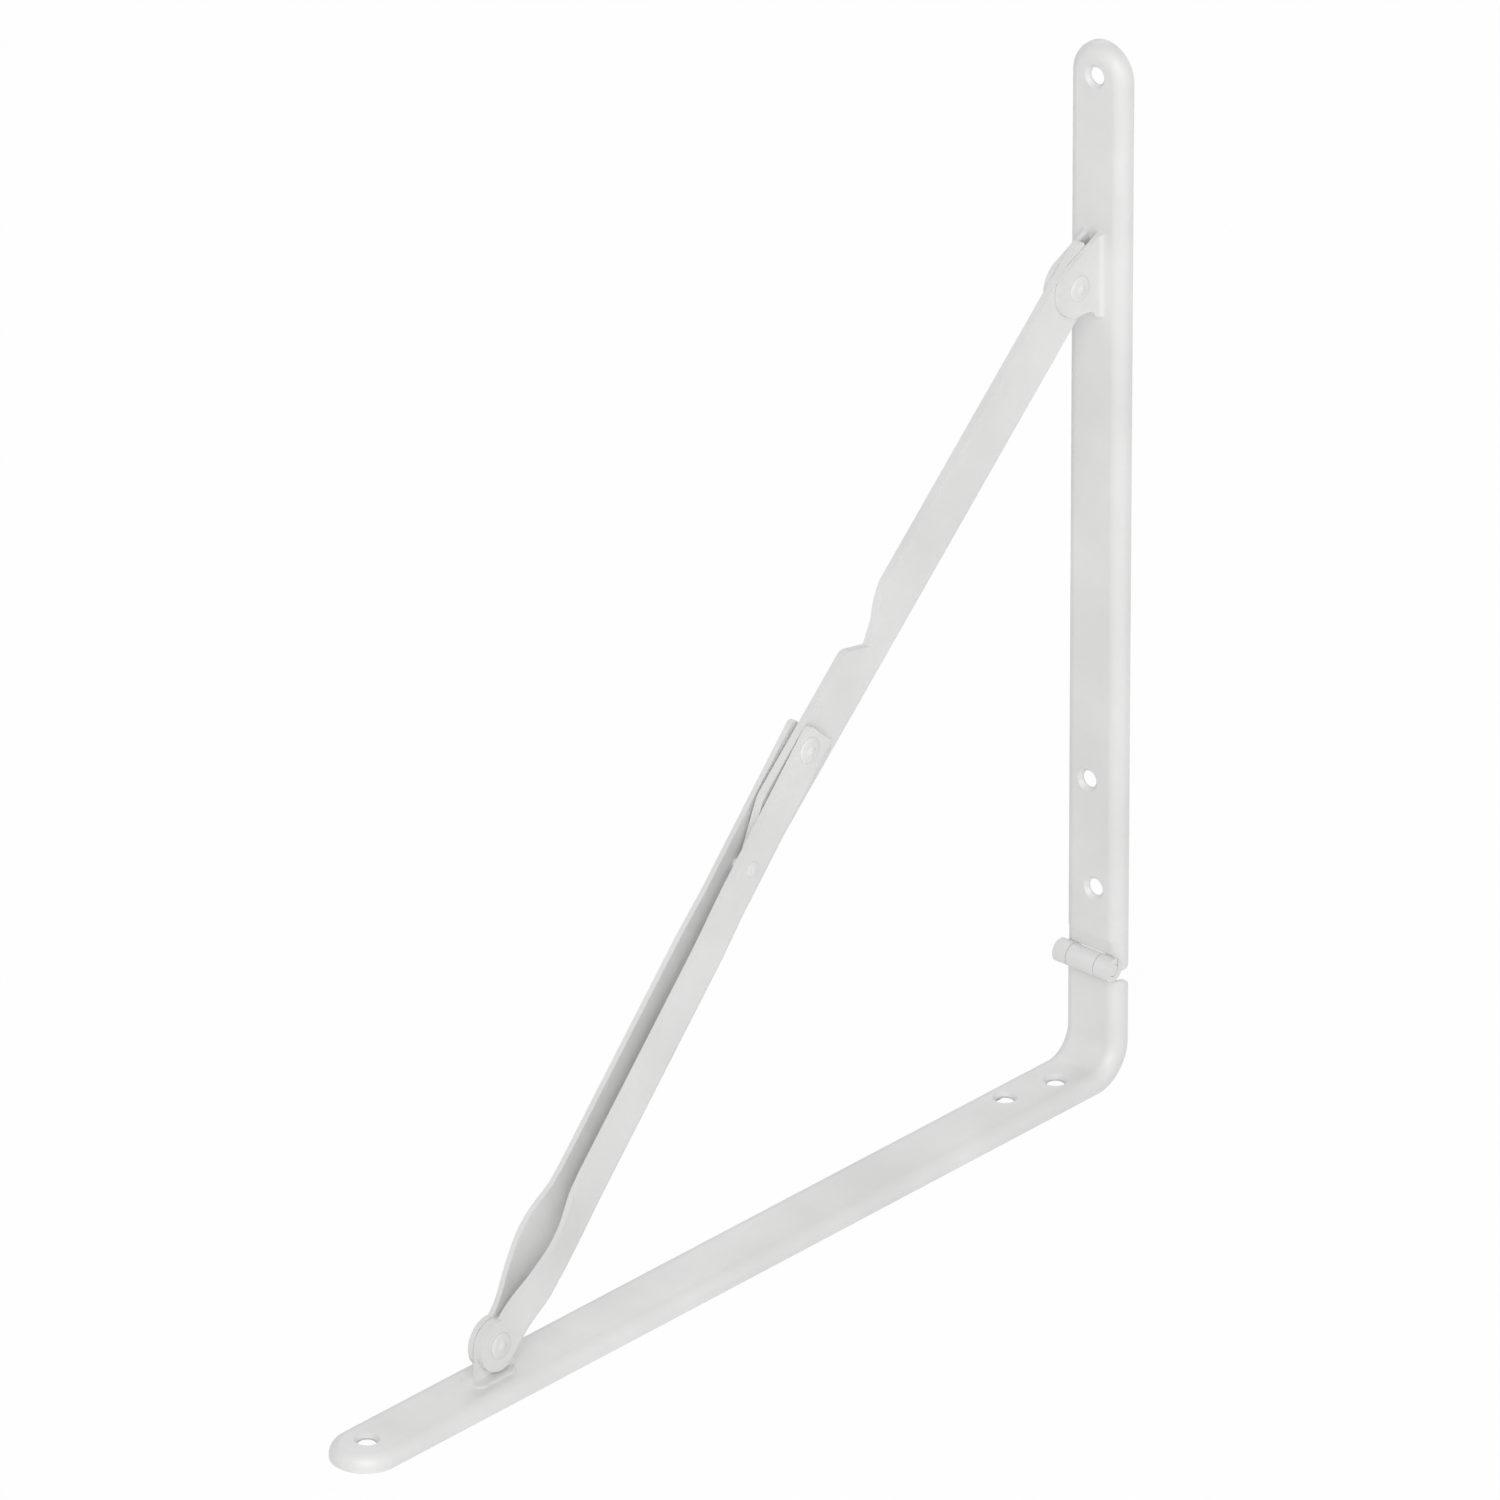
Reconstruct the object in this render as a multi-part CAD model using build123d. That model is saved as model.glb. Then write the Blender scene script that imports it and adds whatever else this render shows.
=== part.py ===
from build123d import *
import os
from math import atan2, cos, degrees, hypot, radians, sin, sqrt

# Folding shelf bracket of pressed steel.
# A wall leg and a shelf leg meet in a rolled hinge.  Two struts, riveted to an ear on
# each leg and to each other at the knee, hold them square and fold up between them.
#
# Frame: millimetres, +Z up.  The shelf face is the plane z = 0 and the wall face is the
# plane x = wall_x.  The mid-plane is y = 0.  The origin is the middle of the shelf leg.
# Distances "out" are measured from a leg's own back plane, towards the struts.

# ------------------------------------------------------------------ driving dimensions
sheet = 1.5                    # steel sheet of both legs
leg_width = 18.9
leg_depth = 4.8                # back plane to the outside of the web
shoulder_radius = 3.8          # rounding between web and rim
wall_leg_top = 300.0           # height of the wall leg's round end
shelf_leg_reach = 296.0        # wall face to the shelf leg's round end
corner_radius = 12.0           # shelf leg's bend, at the back plane
rim_gap_low = 29.7             # shelf leg's rims end here
rim_gap_high = 33.0            # wall leg's rims start here

hinge_height = 34.4
hinge_pin_radius = 1.75
strap_step = 0.75              # the hinge straps lie this much nearer the back plane
strap_crease = 40.6            # height where the wall leg's web steps back to full depth
crease_rise = 1.2
middle_knuckle_width = 9.4
knuckle_window = 0.88          # window's top over the pin, as a share of the knuckle
knuckle_gap = 0.2              # side play between neighbouring knuckles
knuckle_inset = 0.05           # outer knuckles end just inside the leg's width
seam = 0.3                     # slit where a rolled knuckle meets its strap again
fit = 0.03                     # radial clearance of every pin and rivet

screw_hole_radius = 2.4
screw_head_radius = 3.4
wall_screw_inset = 8.9         # end screw hole to the wall leg's round end
shelf_screw_inset = 10.0       # the same on the shelf leg
wall_screws = [(86.9, 1.2), (55.7, -1.2)]        # height, side offset
shelf_screws = [(20.3, -1.8), (36.5, 1.8)]       # from the wall, side offset

wall_pivot_above_hinge = 200.0
wall_pivot_out = 13.5
shelf_pivot_reach = 238.0
shelf_pivot_out = 13.3
over_centre = 8.0              # the knee stands this far outside the line of the pivots
folded_tilt = 0.5              # lower strut's slope in degrees when folded

bar_thickness = 2.4            # upper strut
bar_width = 15.3
knee_offset = 4.05             # knee pivot to the bar's centreline
bar_end_radius = 7.65
bar_corner_overrun = 11.0      # outer corner beyond the wall pivot
tail_clearance = 0.5           # between the tail and the stop rivet as they pass
finger_reach = 38.0            # stop finger behind the knee

channel_sheet = 1.6            # lower strut
channel_half_width = 4.2
knee_half_width = 3.7
foot_half_width = 2.45         # pinched round the shelf leg's tongue
bulge_half_width = 6.6         # widest place of the free edges
bulge_at = 30.0
channel_free_edge = 4.4        # pivot line to the free edges
channel_web_face = 8.1         # pivot line to the outside of the web
channel_corner = 1.9
channel_end_radius = 7.2
channel_overrun = 5.5          # flanges beyond the knee
knee_round_radius = 8.8
foot_straight = 6.0            # pinched foot stays parallel up to here
pinch_end = 19.0               # web reaches its full width here
bulge_start = 12.0
bulge_flat = 1.0
bulge_run = 17.0
shaped_foot_end = 48.0
foot_steps = (4, 3, 4)         # steps to pinch_end, to bulge_at, to shaped_foot_end
foot_step = 8.0                # inner edge steps out from the foot's round end here
web_start = 15.0
web_end = 131.0

notch_start = 27.0             # notch in the bar's outer edge that clears the stop rivet
notch_root = 32.4
notch_end = 47.5
notch_depth = 7.3
notch_high = (4.5, 0.25)       # ramp out of the notch: run, share of the depth
notch_low = (9.0, 0.68)
tail_straight = 17.0           # outer edge stays straight this far behind the knee
tail_top_angle = 5.0           # tail's arc starts here, in degrees above the knee
tail_middle_angle = 8.0
bar_rounding = 1.5             # roundings of the bar's corners, in its own plane
finger_rounding = 1.2
notch_rounding = 4.0
notch_root_rounding = 0.8
notch_start_rounding = 2.5
tail_start_rounding = 8.0
knee_taper = 124.0             # the channel narrows round this place
knee_taper_lead = 10.0         # from this far before it
knee_taper_tail = 6.0          # to this far after it
knee_taper_steps = 4

stop_from_knee = 34.1          # stop rivet, along the lower strut
stop_drop = 2.0                # stop rivet below the pivot line
stop_radius = 1.75
stop_clearance = 0.1

ear_sheet = 1.5
ear_gap = 0.1                  # side play between an ear and the strut in it
wall_ear_radius = 8.0
wall_ear_top = 12.9            # ear outline above and below its pivot
wall_ear_foot = 10.8
wall_ear_start = 115.0         # the ear's round part, in degrees about its pivot
wall_ear_stop = 280.0
wall_ear_notch = (4.2, 0.35)   # hollow under the round part: out from the web, depth
wall_ear_toe = (2.4, 1.0)      # top of the toe: out from the web, above the ear's foot
wall_ear_toe_reach = 1.4
wall_ear_toe_slope = (0.25, -1)
ear_flare = 1.3                # rounding where an ear rises from the web
tongue_thickness = 1.5
tongue_radius = 7.0
pad_height = 0.5
pad_half_width = 4.2
pad_back = 10.0                # pad's reach either side of the shelf pivot
pad_front = 5.4

rivet_radius = 2.0
rivet_head_radius = 3.6
rivet_head_height = 0.7
rivet_bump_radius = 1.5
rivet_bump_height = 0.5
stop_head_radius = 2.3
stop_head_height = 0.4

# ------------------------------------------------------------------ derived places
wall_x = shelf_leg_reach / 2
knuckle_radius = hinge_pin_radius + fit + sheet
strap_back = leg_depth - sheet - strap_step
hinge_x = wall_x - strap_back - knuckle_radius
half_leg = leg_width / 2
half_middle = middle_knuckle_width / 2
knuckle_start = half_middle + knuckle_gap
knuckle_end = half_leg - knuckle_inset

wall_pivot = (wall_x - wall_pivot_out, hinge_height + wall_pivot_above_hinge)
shelf_pivot = (wall_x - shelf_pivot_reach, shelf_pivot_out)


def solve_knee():
    """Return the knee pivot and both strut lengths.

    The struts must close the triangle when the legs are square, with the knee
    over_centre outside the line of the pivots, and close it again when the wall leg has
    turned a quarter about the hinge and the lower strut lies at folded_tilt.
    """
    span_x = wall_pivot[0] - shelf_pivot[0]
    span_z = wall_pivot[1] - shelf_pivot[1]
    span = hypot(span_x, span_z)
    folded_x = hinge_x - (wall_pivot[1] - hinge_height) - shelf_pivot[0]
    folded_z = hinge_height + (wall_pivot[0] - hinge_x) - shelf_pivot[1]
    along = folded_x * cos(radians(folded_tilt)) + folded_z * sin(radians(folded_tilt))
    rest = span**2 - folded_x**2 - folded_z**2
    lead = span**2 - along**2
    root = (span * rest) ** 2 - lead * (rest**2 - 4 * along**2 * over_centre**2)
    foot = (span * rest + sqrt(root)) / (2 * lead)
    knee_x = shelf_pivot[0] + (foot * span_x - over_centre * span_z) / span
    knee_z = shelf_pivot[1] + (foot * span_z + over_centre * span_x) / span
    return (knee_x, knee_z), hypot(foot, over_centre), hypot(span - foot, over_centre)


knee, lower_length, upper_length = solve_knee()
lower_angle = degrees(atan2(knee[1] - shelf_pivot[1], knee[0] - shelf_pivot[0]))
upper_angle = degrees(atan2(wall_pivot[1] - knee[1], wall_pivot[0] - knee[0]))

ear_inner = bar_thickness / 2 + ear_gap
ear_outer = ear_inner + ear_sheet
wall_pivot_gap = wall_pivot_out - leg_depth
tail_radius = hypot(stop_from_knee, stop_drop) - stop_radius - tail_clearance
shelf_pivot_gap = shelf_pivot_out - leg_depth


# ------------------------------------------------------------------ shared forms
def side_plate(face, low, high):
    """Extrude a face drawn in the XZ plane so that it spans y = low .. high."""
    return Pos(0, high, 0) * extrude(face, amount=high - low)


def side_cylinder(x, z, radius, half_length):
    """Return a cylinder along Y, centred on the mid-plane."""
    return Pos(x, 0, z) * Rot(90, 0, 0) * Cylinder(radius, 2 * half_length)


def both_sides(solid):
    """Return a solid together with its mirror image in the mid-plane."""
    return solid + mirror(solid, about=Plane.XZ)


def leg_section(depth, shoulder):
    """Return the legs' channel section: X across, back plane at Y = 0, web at Y = depth."""
    outer = Rectangle(leg_width, depth, align=(Align.CENTER, Align.MIN))
    outer = fillet(outer.vertices().group_by(Axis.Y)[-1], shoulder)
    inner = Rectangle(leg_width - 2 * sheet, depth - sheet, align=(Align.CENTER, Align.MIN))
    inner = fillet(inner.vertices().group_by(Axis.Y)[-1], shoulder - sheet)
    return outer - inner


def half_section(depth, shoulder):
    """Return the half of the channel section on the +X side."""
    return leg_section(depth, shoulder) & Rectangle(
        leg_width, 2 * leg_width, align=(Align.MIN, Align.CENTER)
    )


def upright_plane(height):
    """Return the plane across an upright channel, web towards the struts."""
    return Plane(origin=(wall_x, 0, height), x_dir=(0, 1, 0), z_dir=(0, 0, 1))


def level_plane(x):
    """Return the plane across the level channel, web upwards."""
    return Plane(origin=(x, 0, 0), x_dir=(0, 1, 0), z_dir=(1, 0, 0))


def screw_cutter():
    """Return a countersunk screw hole: web outside at Z = 0, screw axis along -Z."""
    cone_height = screw_head_radius - screw_hole_radius
    shaft = Cylinder(screw_hole_radius, 4 * leg_depth)
    mouth = Pos(0, 0, leg_depth / 2) * Cylinder(screw_head_radius, leg_depth)
    cone = Pos(0, 0, -cone_height / 2) * Cone(
        screw_hole_radius, screw_head_radius, cone_height
    )
    return shaft + mouth + cone


def knuckle(low, high, seam_side):
    """Return one rolled knuckle; seam_side is +1 with its seam above the pin, or -1."""
    strap_face = wall_x - strap_back - sheet
    slit_at = Pos(strap_face - seam / 2, hinge_height + seam_side * knuckle_radius / 2)
    roll = Pos(hinge_x, hinge_height) * Circle(knuckle_radius)
    roll -= slit_at * Rectangle(seam, knuckle_radius)
    return side_plate(Plane.XZ * roll, low, high)


def rivet(half_grip, shank, head, head_height, bump, bump_height):
    """Return a rivet along Y through the origin, its heads seated at half_grip."""
    top = half_grip + head_height
    profile = make_face(
        Polyline(
            (0, 0),
            (shank, 0),
            (shank, half_grip),
            (head, half_grip),
            (head, half_grip + head_height / 3),
            (head - head_height, top),
            (bump, top),
            (bump * 0.6, top + bump_height),
            (0, top + bump_height),
            close=True,
        )
    )
    return both_sides(revolve(profile, Axis.Y))


# ------------------------------------------------------------------ wall leg
def wall_channel():
    """Return the wall leg's channel with its round end, crease and hinge window."""
    end_height = wall_leg_top - half_leg
    step_top = strap_crease + crease_rise
    strap_depth = leg_depth - strap_step
    full = leg_section(leg_depth, shoulder_radius)
    low = leg_section(strap_depth, shoulder_radius - strap_step)
    body = extrude(upright_plane(step_top) * full, amount=end_height - step_top)
    body += loft(
        [upright_plane(strap_crease) * low, upright_plane(step_top) * full], ruled=True
    )
    body += extrude(upright_plane(rim_gap_high) * low, amount=strap_crease - rim_gap_high)
    half = upright_plane(end_height) * half_section(leg_depth, shoulder_radius)
    end_axis = Axis((wall_x, 0, end_height), (1, 0, 0))
    body += revolve(half, end_axis, revolution_arc=180)
    corners = body.edges().filter_by(Axis.Y).group_by(Axis.Z)[0].group_by(Axis.X)[-1]
    body = fillet(corners, sheet)
    window_top = hinge_height + knuckle_radius * knuckle_window
    window = Pos(wall_x, 0, window_top) * Box(
        4 * leg_depth,
        2 * knuckle_start,
        2 * (window_top - rim_gap_high) + leg_depth,
        align=(Align.CENTER, Align.CENTER, Align.MAX),
    )
    return body - window


def wall_ears():
    """Return the pair of ears that hold the upper strut, flared where they rise."""
    px, pz = wall_pivot
    base = px + wall_pivot_gap
    inside = base + sheet / 2
    toe_x = base - wall_ear_toe_reach

    def on_round(angle):
        turn = radians(angle)
        return px + wall_ear_radius * cos(turn), pz + wall_ear_radius * sin(turn)

    start = on_round(wall_ear_start)
    bottom = on_round(wall_ear_stop)
    middle = (px - wall_ear_radius, pz)
    notch = (base - wall_ear_notch[0], bottom[1] - wall_ear_notch[1])
    toe = (base - wall_ear_toe[0], pz - wall_ear_foot + wall_ear_toe[1])
    with BuildSketch() as outline:
        with BuildLine():
            Line((inside, pz + wall_ear_top), (base, pz + wall_ear_top))
            Line((base, pz + wall_ear_top), start)
            ThreePointArc(start, middle, bottom)
            Spline(bottom, notch, toe, tangents=((1, 0), wall_ear_toe_slope))
            Line(toe, (toe_x, pz - wall_ear_foot))
            Line((toe_x, pz - wall_ear_foot), (inside, pz - wall_ear_foot))
            Line((inside, pz - wall_ear_foot), (inside, pz + wall_ear_top))
        make_face()
    return side_plate(Plane.XZ * outline.sketch, ear_inner, ear_outer)


def wall_leg():
    """Return the wall leg: channel, ears, hinge knuckles and screw holes."""
    leg = wall_channel() + both_sides(wall_ears())
    web = wall_x - leg_depth
    foot_edges = [
        edge
        for edge in leg.edges().filter_by(Axis.Z)
        if abs(edge.center().X - web) < 0.01
        and abs(abs(edge.center().Y) - ear_outer) < 0.01
        and edge.center().Z > wall_pivot[1] - 2 * wall_ear_foot
    ]
    leg = fillet(foot_edges, ear_flare)
    leg += both_sides(knuckle(knuckle_start, knuckle_end, 1))
    for height, offset in wall_screws + [(wall_leg_top - wall_screw_inset, 0)]:
        place = Plane(origin=(web, offset, height), z_dir=(-1, 0, 0))
        leg -= place * screw_cutter()
    leg -= side_cylinder(hinge_x, hinge_height, hinge_pin_radius + fit, leg_width)
    leg -= side_cylinder(*wall_pivot, rivet_radius + fit, leg_width)
    return leg


# ------------------------------------------------------------------ shelf leg
def shelf_channel():
    """Return the shelf leg's channel: round end, level run, bend and short upright."""
    full = leg_section(leg_depth, shoulder_radius)
    end_x = half_leg - wall_x
    bend_x = wall_x - corner_radius
    level = level_plane(bend_x) * full
    body = extrude(level, amount=end_x - bend_x)
    body += revolve(level, Axis((bend_x, 0, corner_radius), (0, -1, 0)), revolution_arc=90)
    body += extrude(upright_plane(corner_radius) * full, amount=rim_gap_low - corner_radius)
    half = level_plane(end_x) * half_section(leg_depth, shoulder_radius)
    body += revolve(half, Axis((end_x, 0, 0), (0, 0, 1)), revolution_arc=180)
    corners = body.edges().filter_by(Axis.Y).group_by(Axis.Z)[-1].group_by(Axis.X)[-1]
    return fillet(corners, sheet)


def shelf_strap():
    """Return the strap that jogs back from the web and carries the middle knuckle."""
    outside = wall_x - leg_depth
    jog_low = rim_gap_low - 2 * sheet
    jog_high = jog_low + 2 * strap_step
    outline = make_face(
        Polyline(
            (outside, jog_low),
            (outside + strap_step, jog_high + sheet / 2),
            (outside + strap_step, hinge_height),
            (outside + strap_step + sheet, hinge_height),
            (outside + strap_step + sheet, jog_high),
            (outside + sheet, jog_low),
            close=True,
        )
    )
    return side_plate(Plane.XZ * outline, -half_middle, half_middle)


def shelf_tongue():
    """Return the tongue that the lower strut straddles."""
    height = shelf_pivot_gap + sheet / 2
    outline = Circle(tongue_radius)
    outline += Rectangle(2 * tongue_radius, height, align=(Align.CENTER, Align.MAX))
    outline = Plane.XZ * (Pos(*shelf_pivot) * outline)
    return side_plate(outline, -tongue_thickness / 2, tongue_thickness / 2)


def shelf_pad():
    """Return the low pad pressed up round the tongue."""
    px = shelf_pivot[0]
    length = pad_back + pad_front
    outline = RectangleRounded(length, 2 * pad_half_width, pad_half_width * 0.6)
    at = Pos(px + (pad_front - pad_back) / 2, 0, leg_depth)
    pad = at * extrude(outline, amount=pad_height)
    return chamfer(pad.edges().group_by(Axis.Z)[-1], pad_height * 0.9, pad_height * 1.8)


def shelf_leg():
    """Return the shelf leg: channel, hinge strap and knuckle, tongue and screw holes."""
    leg = shelf_channel() + shelf_strap()
    leg += knuckle(-half_middle, half_middle, -1)
    leg += shelf_pad() + shelf_tongue()
    for from_wall, offset in shelf_screws + [(shelf_leg_reach - shelf_screw_inset, 0)]:
        place = Plane(origin=(wall_x - from_wall, offset, leg_depth), z_dir=(0, 0, 1))
        leg -= place * screw_cutter()
    leg -= side_cylinder(hinge_x, hinge_height, hinge_pin_radius + fit, leg_width)
    leg -= side_cylinder(*shelf_pivot, rivet_radius + fit, leg_width)
    return leg


# ------------------------------------------------------------------ upper strut
def stop_in_bar():
    """Return the stop rivet's centre in the bar's own axes, struts held square."""
    turn = radians(lower_angle - upper_angle) - bar_tilt
    x = -stop_from_knee * cos(turn) + stop_drop * sin(turn)
    y = -stop_from_knee * sin(turn) - stop_drop * cos(turn)
    return x, y + knee_offset


def bar_outline():
    """Return the upper strut's outline.

    X runs along the bar's centreline and Y towards its outer side.  The knee pivot is at
    (0, knee_offset) and the wall pivot at (bar_run, 0).
    """
    half = bar_width / 2
    lean = 2 * degrees(atan2(half, bar_corner_overrun)) - 90
    middle = radians((lean - 90) / 2)
    end_middle = (bar_run + bar_end_radius * cos(middle), bar_end_radius * sin(middle))
    touch = (
        bar_run + bar_end_radius * cos(radians(lean)),
        bar_end_radius * sin(radians(lean)),
    )
    corner = (bar_run + bar_corner_overrun, half)
    ramp_top = (notch_end - notch_high[0], half - notch_depth * notch_high[1])
    ramp_low = (notch_end - notch_low[0], half - notch_depth * notch_low[1])
    root = (notch_root, half - notch_depth)
    finger_edge = stop_in_bar()[1] - stop_radius - stop_clearance
    tail_drop = knee_offset - finger_edge
    tail_end = (-sqrt(tail_radius**2 - tail_drop**2), finger_edge)

    def on_tail(angle):
        turn = radians(angle)
        return -tail_radius * cos(turn), knee_offset - tail_radius * sin(turn)

    tail_middle = on_tail(tail_middle_angle)
    tail_top = on_tail(tail_top_angle)
    with BuildSketch() as outline:
        with BuildLine():
            Line((-finger_reach, -half), (bar_run, -half))
            ThreePointArc((bar_run, -half), end_middle, touch)
            Polyline(
                touch,
                corner,
                (notch_end, half),
                ramp_top,
                ramp_low,
                root,
                (notch_start, half),
                (-tail_straight, half),
                tail_top,
            )
            ThreePointArc(tail_top, tail_middle, tail_end)
            Polyline(tail_end, (-finger_reach, finger_edge), (-finger_reach, -half))
        make_face()
        for point, radius in (
            (corner, bar_rounding),
            ((notch_end, half), notch_rounding),
            (ramp_top, notch_rounding),
            (ramp_low, notch_rounding),
            (root, notch_root_rounding),
            ((notch_start, half), notch_start_rounding),
            ((-tail_straight, half), tail_start_rounding),
            (tail_top, bar_rounding),
            ((-finger_reach, finger_edge), finger_rounding),
            ((-finger_reach, -half), finger_rounding),
        ):
            fillet(outline.vertices().sort_by_distance((*point, 0))[0], radius)
    return outline.sketch


def upper_strut():
    """Return the flat upper strut, bored for the knee and the wall rivet."""
    sheet_face = bar_outline()
    for pivot in ((0, knee_offset), (bar_run, 0)):
        sheet_face -= Pos(*pivot) * Circle(rivet_radius + fit)
    bar = side_plate(Plane.XZ * sheet_face, -bar_thickness / 2, bar_thickness / 2)
    on_knee = Pos(0, 0, -knee_offset)
    turned = Rot(0, -upper_angle - degrees(bar_tilt), 0)
    return Pos(knee[0], 0, knee[1]) * turned * on_knee * bar


# ------------------------------------------------------------------ lower strut
def ease(value, low, high):
    """Return a smooth step from 0 at low to 1 at high."""
    share = min(max((value - low) / (high - low), 0), 1)
    return share * share * (3 - 2 * share)


def spread(start, end, steps):
    """Return steps + 1 even places from start to end."""
    return [start + (end - start) * i / steps for i in range(steps + 1)]


def strut_half_widths(s):
    """Return the channel's outer half width at the web and at the free edges."""
    web = foot_half_width + (channel_half_width - foot_half_width) * ease(s, foot_straight, pinch_end)
    taper_start = knee_taper - knee_taper_lead
    taper_end = knee_taper + knee_taper_tail
    web -= (channel_half_width - knee_half_width) * ease(s, taper_start, taper_end)
    swell = ease(s, bulge_start, bulge_at)
    swell -= ease(s, bulge_at + bulge_flat, bulge_at + bulge_run)
    return web, web + (bulge_half_width - channel_half_width) * swell


def strut_section(s, inset, low, high, corner):
    """Return the channel's outline at s, moved in by inset and cut at n = low .. high."""
    web_half, free_half = strut_half_widths(s)
    rise = channel_free_edge + channel_web_face
    lean = (free_half - web_half) / rise

    def half_at(n):
        return web_half - inset + lean * (n + channel_web_face)

    outline = make_face(
        Polyline(
            (-half_at(high), high),
            (-half_at(low), low),
            (half_at(low), low),
            (half_at(high), high),
            close=True,
        )
    )
    if corner > 0:
        outline = fillet(outline.vertices().group_by(Axis.Y)[0], corner)
    return Plane(origin=(s, 0, 0), x_dir=(0, 1, 0), z_dir=(1, 0, 0)) * outline


def strut_loft(start, end, inset, low, high, corner):
    """Loft the channel's outline from start to end: shaped foot, straight run, knee."""
    foot = (
        spread(foot_straight, pinch_end, foot_steps[0])[:-1]
        + spread(pinch_end, bulge_at, foot_steps[1])[:-1]
        + spread(bulge_at, shaped_foot_end, foot_steps[2])
    )
    taper_start = knee_taper - knee_taper_lead
    taper = spread(taper_start, knee_taper + knee_taper_tail, knee_taper_steps)
    runs = (
        [-lower_length, foot[0]],
        foot,
        [foot[-1], taper[0]],
        taper,
        [taper[-1], 2 * lower_length],
    )
    body = None
    for run in runs:
        first = max(start, run[0])
        last = min(end, run[-1])
        if last <= first:
            continue
        stations = [first] + [s for s in run if first < s < last] + [last]
        piece = loft([strut_section(s, inset, low, high, corner) for s in stations])
        body = piece if body is None else body + piece
    return body


def flange_outline():
    """Return the lower strut's side outline: X along the strut, Y to its outer side.

    It runs below the web's face on purpose, because the channel itself ends there.
    """
    end = lower_length + channel_overrun
    reach = channel_end_radius
    below = -channel_web_face - 1
    outline = Circle(reach)
    outline += make_face(
        Polyline(
            (0, -reach),
            (foot_step - 1, -reach),
            (foot_step + 1, below),
            (end, below),
            (end, channel_free_edge),
            (0, channel_free_edge),
            close=True,
        )
    )
    keep = Pos(lower_length, 0) * Circle(knee_round_radius)
    keep += Pos(lower_length, 0) * Rectangle(
        2 * lower_length, 4 * reach, align=(Align.MAX, Align.CENTER)
    )
    outline &= keep
    tip = outline.vertices().group_by(Axis.X)[-1].sort_by(Axis.Y)[-1]
    return fillet(tip, channel_sheet)


def lower_strut():
    """Return the lower strut: a folded channel pinched at its foot, open at its knee."""
    foot_end = -channel_end_radius - 1
    knee_end = lower_length + channel_overrun + 1
    floor = channel_sheet - channel_web_face
    below = -channel_web_face - 1
    above = channel_end_radius + 1
    inner_corner = channel_corner - channel_sheet
    shell = strut_loft(foot_end, knee_end, 0, -channel_web_face, above, channel_corner)
    shell &= side_plate(Plane.XZ * flange_outline(), -leg_width, leg_width)
    shell -= strut_loft(foot_end - 1, web_start, channel_sheet, below, above + 1, 0)
    shell -= strut_loft(web_start, web_end, channel_sheet, floor, above + 1, inner_corner)
    shell -= strut_loft(web_end, knee_end + 1, channel_sheet, below, above + 1, 0)
    shell -= side_cylinder(0, 0, rivet_radius + fit, leg_width)
    shell -= side_cylinder(lower_length, 0, rivet_radius + fit, leg_width)
    stop_x = lower_length - stop_from_knee
    shell -= side_cylinder(stop_x, -stop_drop, stop_radius + fit, leg_width)
    return on_lower_strut(shell)


def on_lower_strut(solid):
    """Move a solid from the lower strut's own axes to its place."""
    return Pos(shelf_pivot[0], 0, shelf_pivot[1]) * Rot(0, -lower_angle, 0) * solid


# ------------------------------------------------------------------ pins and rivets
def pivot_rivet(x, z, half_grip):
    """Return a headed pivot rivet through the mid-plane point (x, z)."""
    body = rivet(
        half_grip,
        rivet_radius,
        rivet_head_radius,
        rivet_head_height,
        rivet_bump_radius,
        rivet_bump_height,
    )
    return Pos(x, 0, z) * body


def stop_rivet():
    """Return the plain rivet that stops the upper strut past dead centre."""
    body = rivet(
        knee_half_width,
        stop_radius,
        stop_head_radius,
        stop_head_height,
        stop_radius / 2,
        stop_head_height / 2,
    )
    return on_lower_strut(Pos(lower_length - stop_from_knee, 0, -stop_drop) * body)


def hinge_pin():
    """Return the hinge pin's length inside the shelf leg's middle knuckle."""
    return side_cylinder(hinge_x, hinge_height, hinge_pin_radius, half_middle)


def hinge_pin_ends():
    """Return the hinge pin's two lengths inside the wall leg's knuckles."""
    end = Plane.XZ * (Pos(hinge_x, hinge_height) * Circle(hinge_pin_radius))
    return both_sides(side_plate(end, knuckle_start, knuckle_end))


# ------------------------------------------------------------------ the parts
bar_tilt = atan2(knee_offset, sqrt(upper_length**2 - knee_offset**2))
bar_run = sqrt(upper_length**2 - knee_offset**2)

parts = {
    "wall_leg": wall_leg,
    "shelf_leg": shelf_leg,
    "upper_strut": upper_strut,
    "lower_strut": lower_strut,
    "wall_ear_rivet": lambda: pivot_rivet(*wall_pivot, ear_outer),
    "knee_rivet": lambda: pivot_rivet(*knee, knee_half_width),
    "shelf_ear_rivet": lambda: pivot_rivet(*shelf_pivot, foot_half_width),
    "stop_rivet": stop_rivet,
    "hinge_pin": hinge_pin,
    "hinge_pin_ends": hinge_pin_ends,
}

os.makedirs("parts", exist_ok=True)
for name, build in parts.items():
    export_step(build(), f"parts/{name}.step")
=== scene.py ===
"""Dressed model of a folding shelf bracket of pressed steel in white powder coat."""
import logging
from dataclasses import dataclass, field
from enum import Enum
from math import cos, radians, sin, tau

import bpy
import numpy as np
from mathutils import Matrix, Vector


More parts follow.
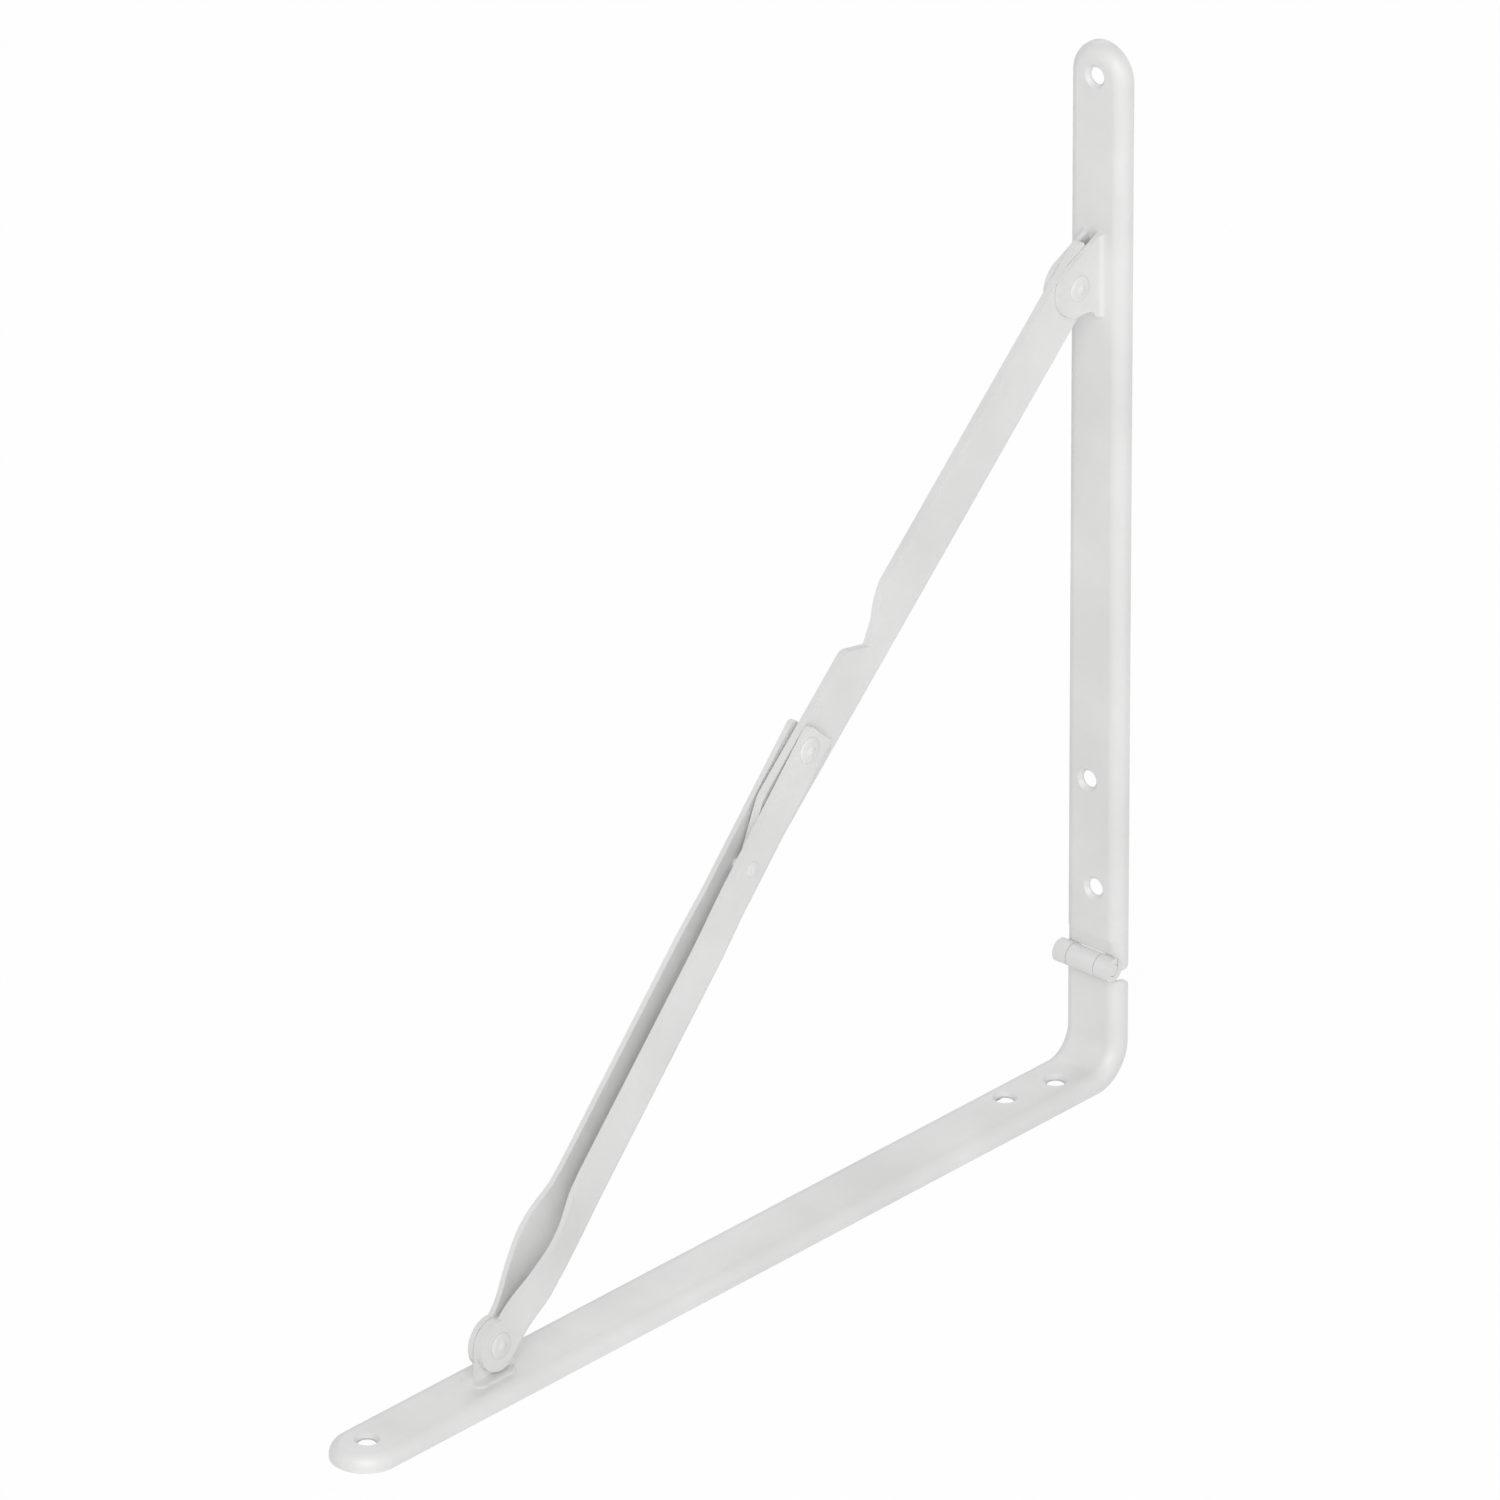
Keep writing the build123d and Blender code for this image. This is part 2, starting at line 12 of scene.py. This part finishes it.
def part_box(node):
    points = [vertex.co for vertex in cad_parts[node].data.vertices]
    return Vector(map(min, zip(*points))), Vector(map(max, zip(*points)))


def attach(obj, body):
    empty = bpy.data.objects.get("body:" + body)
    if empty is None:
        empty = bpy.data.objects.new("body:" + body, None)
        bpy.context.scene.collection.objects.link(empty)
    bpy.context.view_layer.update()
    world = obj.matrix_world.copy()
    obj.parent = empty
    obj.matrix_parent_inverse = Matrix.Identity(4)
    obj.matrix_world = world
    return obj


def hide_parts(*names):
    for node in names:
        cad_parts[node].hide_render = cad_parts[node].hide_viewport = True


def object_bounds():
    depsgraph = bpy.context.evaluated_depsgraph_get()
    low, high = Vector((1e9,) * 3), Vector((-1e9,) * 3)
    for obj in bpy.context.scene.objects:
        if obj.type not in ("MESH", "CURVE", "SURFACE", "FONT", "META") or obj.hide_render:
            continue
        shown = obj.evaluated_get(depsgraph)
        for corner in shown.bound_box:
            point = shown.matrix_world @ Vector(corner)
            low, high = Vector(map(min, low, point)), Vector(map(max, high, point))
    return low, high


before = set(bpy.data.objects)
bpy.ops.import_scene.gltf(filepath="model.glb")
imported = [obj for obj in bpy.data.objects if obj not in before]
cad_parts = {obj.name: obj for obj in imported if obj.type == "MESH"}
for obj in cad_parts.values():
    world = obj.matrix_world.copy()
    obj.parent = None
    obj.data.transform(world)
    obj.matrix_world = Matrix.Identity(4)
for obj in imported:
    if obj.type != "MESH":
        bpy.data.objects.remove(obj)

CAD_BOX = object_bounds()
LOG = logging.getLogger("bracket")
MM = 0.001


class Coat(Enum):
    """The record's material slots, one for each way the paint lies."""

    SHEET = "painted_steel"
    RIVET = "painted_rivet"
    PIN = "pin_steel"


# ---------------------------------------------------------------- finishes
@dataclass(frozen=True)
class PowderCoat:
    """Satin white powder coat: fine orange peel, slow tint and gloss drift, faint rubs.

    Lengths are in metres and colours are linear. A span is the low and high noise value
    between which a feature goes from none to full.
    """

    coat: Coat
    pale: tuple[float, float, float] = (0.83, 0.83, 0.825)
    dull: tuple[float, float, float] = (0.765, 0.765, 0.76)
    rub: tuple[float, float, float] = (0.70, 0.70, 0.695)
    peel_size: float = 1.1 * MM
    peel_height: float = 0.04 * MM
    peel_octaves: float = 2.0
    cloud_size: float = 35.0 * MM
    cloud_octaves: float = 3.0
    cloud_span: tuple[float, float] = (0.35, 0.65)
    rub_size: float = 6.0 * MM
    rub_octaves: float = 4.0
    rub_span: tuple[float, float] = (0.58, 0.78)
    rub_share: float = 0.16
    gloss: tuple[float, float] = (0.33, 0.47)
    gloss_span: tuple[float, float] = (0.3, 0.7)
    coat_weight: float = 0.12
    coat_roughness: float = 0.25

    def _noise(self, tree: bpy.types.NodeTree, size: float, detail: float) -> bpy.types.Node:
        """Add a noise texture whose features are about as wide as size.

        Args:
            tree: Node tree that takes the texture.
            size: Width of one feature.
            detail: Octaves of finer noise.

        Returns:
            The noise node, reading object coordinates.
        """
        place = tree.nodes.new("ShaderNodeTexCoord")
        noise = tree.nodes.new("ShaderNodeTexNoise")
        noise.inputs["Scale"].default_value = 1.0 / size
        noise.inputs["Detail"].default_value = detail
        tree.links.new(place.outputs["Object"], noise.inputs["Vector"])
        return noise

    def _remap(
        self,
        tree: bpy.types.NodeTree,
        noise: bpy.types.Node,
        source: tuple[float, float],
        target: tuple[float, float],
    ) -> bpy.types.NodeSocket:
        """Carry noise values from one span to another.

        Args:
            tree: Node tree that takes the node.
            noise: Noise node to read.
            source: Low and high value read.
            target: Low and high value given.

        Returns:
            The remapped value's socket.
        """
        span = tree.nodes.new("ShaderNodeMapRange")
        for socket, value in zip(("From Min", "From Max", "To Min", "To Max"), source + target):
            span.inputs[socket].default_value = value
        tree.links.new(noise.outputs["Fac"], span.inputs["Value"])
        return span.outputs["Result"]

    def _blend(
        self,
        tree: bpy.types.NodeTree,
        share: bpy.types.NodeSocket,
        under: bpy.types.NodeSocket | tuple[float, float, float],
        over: tuple[float, float, float],
    ) -> bpy.types.NodeSocket:
        """Lay one colour over another by a share that varies over the surface.

        Args:
            tree: Node tree that takes the node.
            share: How much of the upper colour shows.
            under: Lower colour, as numbers or as a socket.
            over: Upper colour.

        Returns:
            The blended colour's socket.
        """
        mix = tree.nodes.new("ShaderNodeMix")
        mix.data_type = "RGBA"
        tree.links.new(share, mix.inputs["Factor"])
        if isinstance(under, tuple):
            mix.inputs["A"].default_value = (*under, 1.0)
        else:
            tree.links.new(under, mix.inputs["A"])
        mix.inputs["B"].default_value = (*over, 1.0)
        return next(s for s in mix.outputs if s.type == "RGBA")

    def build(self) -> bpy.types.Material:
        """Lay tint, rubs, gloss and orange peel over one shader.

        Returns:
            The coat as a procedural material.
        """
        material = bpy.data.materials.new(f"powder_{self.coat.value}")
        material.use_nodes = True
        tree = material.node_tree
        shader = tree.nodes["Principled BSDF"]
        cloud = self._noise(tree, self.cloud_size, self.cloud_octaves)
        rub = self._noise(tree, self.rub_size, self.rub_octaves)
        peel = self._noise(tree, self.peel_size, self.peel_octaves)
        drift = self._remap(tree, cloud, self.cloud_span, (0.0, 1.0))
        worn = self._remap(tree, rub, self.rub_span, (0.0, self.rub_share))
        tint = self._blend(tree, drift, self.pale, self.dull)
        tint = self._blend(tree, worn, tint, self.rub)
        tree.links.new(tint, shader.inputs["Base Color"])
        gloss = self._remap(tree, cloud, self.gloss_span, self.gloss)
        tree.links.new(gloss, shader.inputs["Roughness"])
        bump = tree.nodes.new("ShaderNodeBump")
        bump.inputs["Distance"].default_value = self.peel_height
        bump.inputs["Strength"].default_value = 1.0
        tree.links.new(peel.outputs["Fac"], bump.inputs["Height"])
        tree.links.new(bump.outputs["Normal"], shader.inputs["Normal"])
        shader.inputs["Coat Weight"].default_value = self.coat_weight
        shader.inputs["Coat Roughness"].default_value = self.coat_roughness
        return material


# ---------------------------------------------------------------- pressed sheet
@dataclass
class PressedPieces:
    """The legs, struts and hinge pin: solids whose cut edges the paint has rounded.

    The edge roundings are widths in metres; the angles are in degrees.
    """

    coats: dict[Coat, bpy.types.Material]
    edge: dict[str, float] = field(
        default_factory=lambda: {
            "wall_leg": 0.25 * MM,
            "shelf_leg": 0.25 * MM,
            "upper_strut": 0.30 * MM,
            "lower_strut": 0.22 * MM,
            "hinge_pin": 0.0,
            "hinge_pin_ends": 0.30 * MM,
        }
    )
    edge_angle: float = 38.0
    edge_segments: int = 3
    weld_gap: float = 0.001 * MM
    flat_angle: float = 0.4

    def _coat_of(self, node: str) -> Coat:
        """Return the coat that lies on a node."""
        return Coat.PIN if node.startswith("hinge_pin") else Coat.SHEET

    def _soften(self, solid: bpy.types.Object, width: float) -> None:
        """Weld a solid's facets, join the flat ones, and round its cut edges.

        Args:
            solid: The solid's object; its own mesh stays as it is.
            width: Width of the rounding.
        """
        weld = solid.modifiers.new("weld", "WELD")
        weld.merge_threshold = self.weld_gap
        flat = solid.modifiers.new("flat", "DECIMATE")
        flat.decimate_type = "DISSOLVE"
        flat.angle_limit = radians(self.flat_angle)
        bevel = solid.modifiers.new("paint_edge", "BEVEL")
        bevel.width = width
        bevel.segments = self.edge_segments
        bevel.limit_method = "ANGLE"
        bevel.angle_limit = radians(self.edge_angle)
        bevel.use_clamp_overlap = True
        even = solid.modifiers.new("even", "WEIGHTED_NORMAL")
        even.keep_sharp = False

    def build(self) -> list[bpy.types.Object]:
        """Coat every pressed piece and round its edges.

        Returns:
            The pieces' objects.
        """
        dressed = []
        for node, width in self.edge.items():
            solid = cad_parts[node]
            solid.data.materials.clear()
            solid.data.materials.append(self.coats[self._coat_of(node)])
            if width > 0:
                self._soften(solid, width)
            dressed.append(solid)
        return dressed


# ---------------------------------------------------------------- rivets
@dataclass(frozen=True)
class FormedRivet:
    """A rivet closed at both ends, with a flat-topped head and a struck centre.

    The head's height over the sheet, at radius r from the axis, is a superellipse that
    falls to nothing at the rim, plus a bell in the middle:
    height(r) = head * (1 - (r / rim)^power)^(1 / power) + bump * exp(-(r / bell)^4).
    """

    node: str
    body: str
    shank: float = 2.0 * MM
    head: float = 0.7 * MM
    bump: float = 0.5 * MM
    bell: float = 1.2 * MM
    power: float = 3.2
    around: int = 72
    along: int = 26

    def profile(self, rim: float, reach: float) -> tuple[np.ndarray, np.ndarray]:
        """Work out the half section from one pole to the other.

        Radii run 0 to the rim on each head, close together towards the rim, then in under
        the head to the shank and along it.

        Args:
            rim: Head radius.
            reach: Distance from the middle to a pole.

        Returns:
            Radii and places along the axis, one pair per ring.
        """
        grip = reach - self.head - self.bump
        radii = rim * np.sin(np.linspace(0.0, tau / 4, self.along))
        share = np.clip(1.0 - (radii / rim) ** self.power, 0.0, 1.0)
        rise = self.head * share ** (1.0 / self.power)
        rise += self.bump * np.exp(-((radii / self.bell) ** 4))
        rise[-1] = 0.0
        radii = np.concatenate((radii, (self.shank,)))
        place = np.concatenate((grip + rise, (grip,)))
        return np.concatenate((radii, radii[::-1])), np.concatenate((place, -place[::-1]))

    def build(self, material: bpy.types.Material) -> bpy.types.Object:
        """Turn the section about the rivet's axis, which runs along Y.

        Ring k of the section becomes the points
        (centre_x + radius_k * cos(angle), place_k, centre_z + radius_k * sin(angle)).

        Args:
            material: The coat on the rivet.

        Returns:
            The rivet's object, which stands for its solid.
        """
        low, high = (np.array(corner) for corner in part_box(self.node))
        centre = (low + high) / 2
        radii, place = self.profile((high[0] - low[0]) / 2, (high[1] - low[1]) / 2)
        turn = np.arange(self.around) * tau / self.around
        inner = slice(1, -1)
        rings = np.empty((len(radii) - 2, self.around, 3))
        rings[..., 0] = centre[0] + radii[inner, None] * np.cos(turn)
        rings[..., 1] = centre[1] + place[inner, None]
        rings[..., 2] = centre[2] + radii[inner, None] * np.sin(turn)
        poles = np.array(
            [
                (centre[0], centre[1] + place[0], centre[2]),
                (centre[0], centre[1] + place[-1], centre[2]),
            ]
        )
        points = np.concatenate((rings.reshape(-1, 3), poles))
        index = np.arange(rings.shape[0] * self.around).reshape(-1, self.around)
        after = np.roll(index, -1, axis=1)
        sides = np.stack((index[:-1], after[:-1], after[1:], index[1:]), -1).reshape(-1, 4)
        top = np.stack((index[0], np.full(self.around, len(points) - 2), after[0]), -1)
        foot = np.stack((after[-1], np.full(self.around, len(points) - 1), index[-1]), -1)
        mesh = bpy.data.meshes.new(f"{self.node}_formed")
        faces = sides.tolist() + top.tolist() + foot.tolist()
        mesh.from_pydata(points.tolist(), [], faces)
        mesh.polygons.foreach_set("use_smooth", np.ones(len(faces), dtype=bool))
        mesh.materials.append(material)
        mesh.update()
        rivet = bpy.data.objects.new(f"{self.node}_formed", mesh)
        bpy.context.scene.collection.objects.link(rivet)
        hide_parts(self.node)
        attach(rivet, self.body)
        return rivet


@dataclass
class Rivets:
    """The three pivot rivets, all alike, and the smaller stop rivet."""

    coat: bpy.types.Material
    formed: tuple[FormedRivet, ...] = (
        FormedRivet("wall_ear_rivet", "wall_leg"),
        FormedRivet("knee_rivet", "lower_strut"),
        FormedRivet("shelf_ear_rivet", "lower_strut"),
        FormedRivet(
            "stop_rivet",
            "lower_strut",
            shank=1.75 * MM,
            head=0.4 * MM,
            bump=0.2 * MM,
            bell=0.8 * MM,
        ),
    )

    def build(self) -> list[bpy.types.Object]:
        """Make every rivet and return their objects."""
        return [rivet.build(self.coat) for rivet in self.formed]


# ---------------------------------------------------------------- surroundings
@dataclass(frozen=True)
class SoftLamp:
    """A square lamp turned to the object's middle: size in metres, power in watts."""

    name: str
    place: tuple[float, float, float]
    size: float
    power: float


@dataclass
class Studio:
    """Pale floor, even sky, three soft lamps and the camera.

    Lengths are in metres, angles in degrees, and the lens and sensor in millimetres.
    """

    floor_half: float = 6.0
    floor_drop: float = 0.02 * MM
    floor_tint: tuple[float, float, float] = (0.9, 0.9, 0.9)
    floor_glow: float = 0.97
    sky: float = 0.48
    sky_seen: float = 1.0
    target: tuple[float, float, float] = (0.00915, 0.0, 0.14665)
    azimuth: float = -48.0
    elevation: float = 26.724
    roll: float = -0.173
    distance: float = 4.9437
    lens: float = 460.86
    sensor: float = 36.0
    lamps: tuple[SoftLamp, ...] = (
        SoftLamp("key", (-2.4, -2.1, 1.8), size=2.8, power=67.0),
        SoftLamp("side", (0.6, -2.4, 0.9), size=1.6, power=4.0),
        SoftLamp("rear", (1.4, 1.8, 1.8), size=1.6, power=8.0),
    )

    def _seen(self, tree: bpy.types.NodeTree) -> bpy.types.NodeSocket:
        """Tell rays that show the surroundings to the eye from rays that light the object.

        Args:
            tree: Node tree that takes the nodes.

        Returns:
            A value of 1 on camera, glossy and transmission rays, and 0 on the others.
        """
        path = tree.nodes.new("ShaderNodeLightPath")
        seen = path.outputs["Is Camera Ray"]
        for kind in ("Is Glossy Ray", "Is Transmission Ray"):
            either = tree.nodes.new("ShaderNodeMath")
            either.operation = "MAXIMUM"
            tree.links.new(seen, either.inputs[0])
            tree.links.new(path.outputs[kind], either.inputs[1])
            seen = either.outputs[0]
        return seen

    def _floor(self) -> bpy.types.Object:
        """Lay the floor under the object: pale to light, near white to the eye.

        Returns:
            The floor's object.
        """
        half = self.floor_half
        height = CAD_BOX[0][2] - self.floor_drop
        mesh = bpy.data.meshes.new("floor")
        signs = ((-1, -1), (1, -1), (1, 1), (-1, 1))
        corners = [(x * half, y * half, height) for x, y in signs]
        mesh.from_pydata(corners, [], [(0, 1, 2, 3)])
        floor = bpy.data.objects.new("floor", mesh)
        bpy.context.scene.collection.objects.link(floor)
        material = bpy.data.materials.new("pale_floor")
        material.use_nodes = True
        tree = material.node_tree
        tree.nodes.clear()
        output = tree.nodes.new("ShaderNodeOutputMaterial")
        plain = tree.nodes.new("ShaderNodeBsdfDiffuse")
        plain.inputs["Color"].default_value = (*self.floor_tint, 1.0)
        glow = tree.nodes.new("ShaderNodeEmission")
        share = tree.nodes.new("ShaderNodeMath")
        share.operation = "MULTIPLY"
        share.inputs[1].default_value = self.floor_glow
        tree.links.new(self._seen(tree), share.inputs[0])
        mix = tree.nodes.new("ShaderNodeMixShader")
        tree.links.new(share.outputs[0], mix.inputs[0])
        tree.links.new(plain.outputs[0], mix.inputs[1])
        tree.links.new(glow.outputs[0], mix.inputs[2])
        tree.links.new(mix.outputs[0], output.inputs["Surface"])
        mesh.materials.append(material)
        return floor

    def _sky(self) -> None:
        """Light everything evenly, and show white past the floor's edge."""
        world = bpy.data.worlds.new("sky")
        world.use_nodes = True
        tree = world.node_tree
        ground = tree.nodes["Background"]
        span = tree.nodes.new("ShaderNodeMapRange")
        span.inputs["To Min"].default_value = self.sky
        span.inputs["To Max"].default_value = self.sky_seen
        tree.links.new(self._seen(tree), span.inputs["Value"])
        tree.links.new(span.outputs["Result"], ground.inputs["Strength"])
        ground.inputs["Color"].default_value = (1.0, 1.0, 1.0, 1.0)
        bpy.context.scene.world = world

    def _lamps(self) -> None:
        """Hang the soft lamps, each turned to the object's middle."""
        for lamp in self.lamps:
            light = bpy.data.lights.new(lamp.name, "AREA")
            light.size = lamp.size
            light.energy = lamp.power
            hung = bpy.data.objects.new(lamp.name, light)
            hung.location = lamp.place
            aim = Vector(self.target) - hung.location
            hung.rotation_euler = aim.to_track_quat("-Z", "Y").to_euler()
            bpy.context.scene.collection.objects.link(hung)

    def _camera(self) -> None:
        """Set the camera from its azimuth, elevation, roll and distance."""
        turn, rise, roll = (radians(a) for a in (self.azimuth, self.elevation, self.roll))
        back = Vector((sin(turn) * cos(rise), -cos(turn) * cos(rise), sin(rise)))
        right = Vector((cos(turn), sin(turn), 0.0))
        up = back.cross(right)
        side = right * cos(roll) + up * sin(roll)
        over = up * cos(roll) - right * sin(roll)
        lens = bpy.data.cameras.new("view")
        lens.sensor_width = self.sensor
        lens.lens = self.lens
        camera = bpy.data.objects.new("view", lens)
        place = Matrix((side, over, back)).transposed().to_4x4()
        place.translation = Vector(self.target) + back * self.distance
        camera.matrix_world = place
        bpy.context.scene.collection.objects.link(camera)
        bpy.context.scene.camera = camera

    def build(self) -> None:
        """Set the view transform and place floor, sky, lamps and camera."""
        bpy.context.scene.view_settings.view_transform = "Standard"
        self._camera()
        self._floor()
        self._sky()
        self._lamps()


def main() -> None:
    """Dress the bracket, set the studio, and report each piece."""
    logging.basicConfig(level=logging.INFO, format="%(name)s: %(message)s")
    finishes = (
        PowderCoat(Coat.SHEET),
        PowderCoat(Coat.RIVET, peel_size=0.9 * MM, rub_share=0.22, gloss=(0.36, 0.5)),
        PowderCoat(Coat.PIN, peel_size=0.9 * MM, rub_share=0.26, gloss=(0.38, 0.52)),
    )
    coats = {finish.coat: finish.build() for finish in finishes}
    pieces = PressedPieces(coats).build() + Rivets(coats[Coat.RIVET]).build()
    Studio().build()
    for piece in pieces:
        LOG.info("%s: %d faces", piece.name, len(piece.data.polygons))


if __name__ == "__main__":
    main()
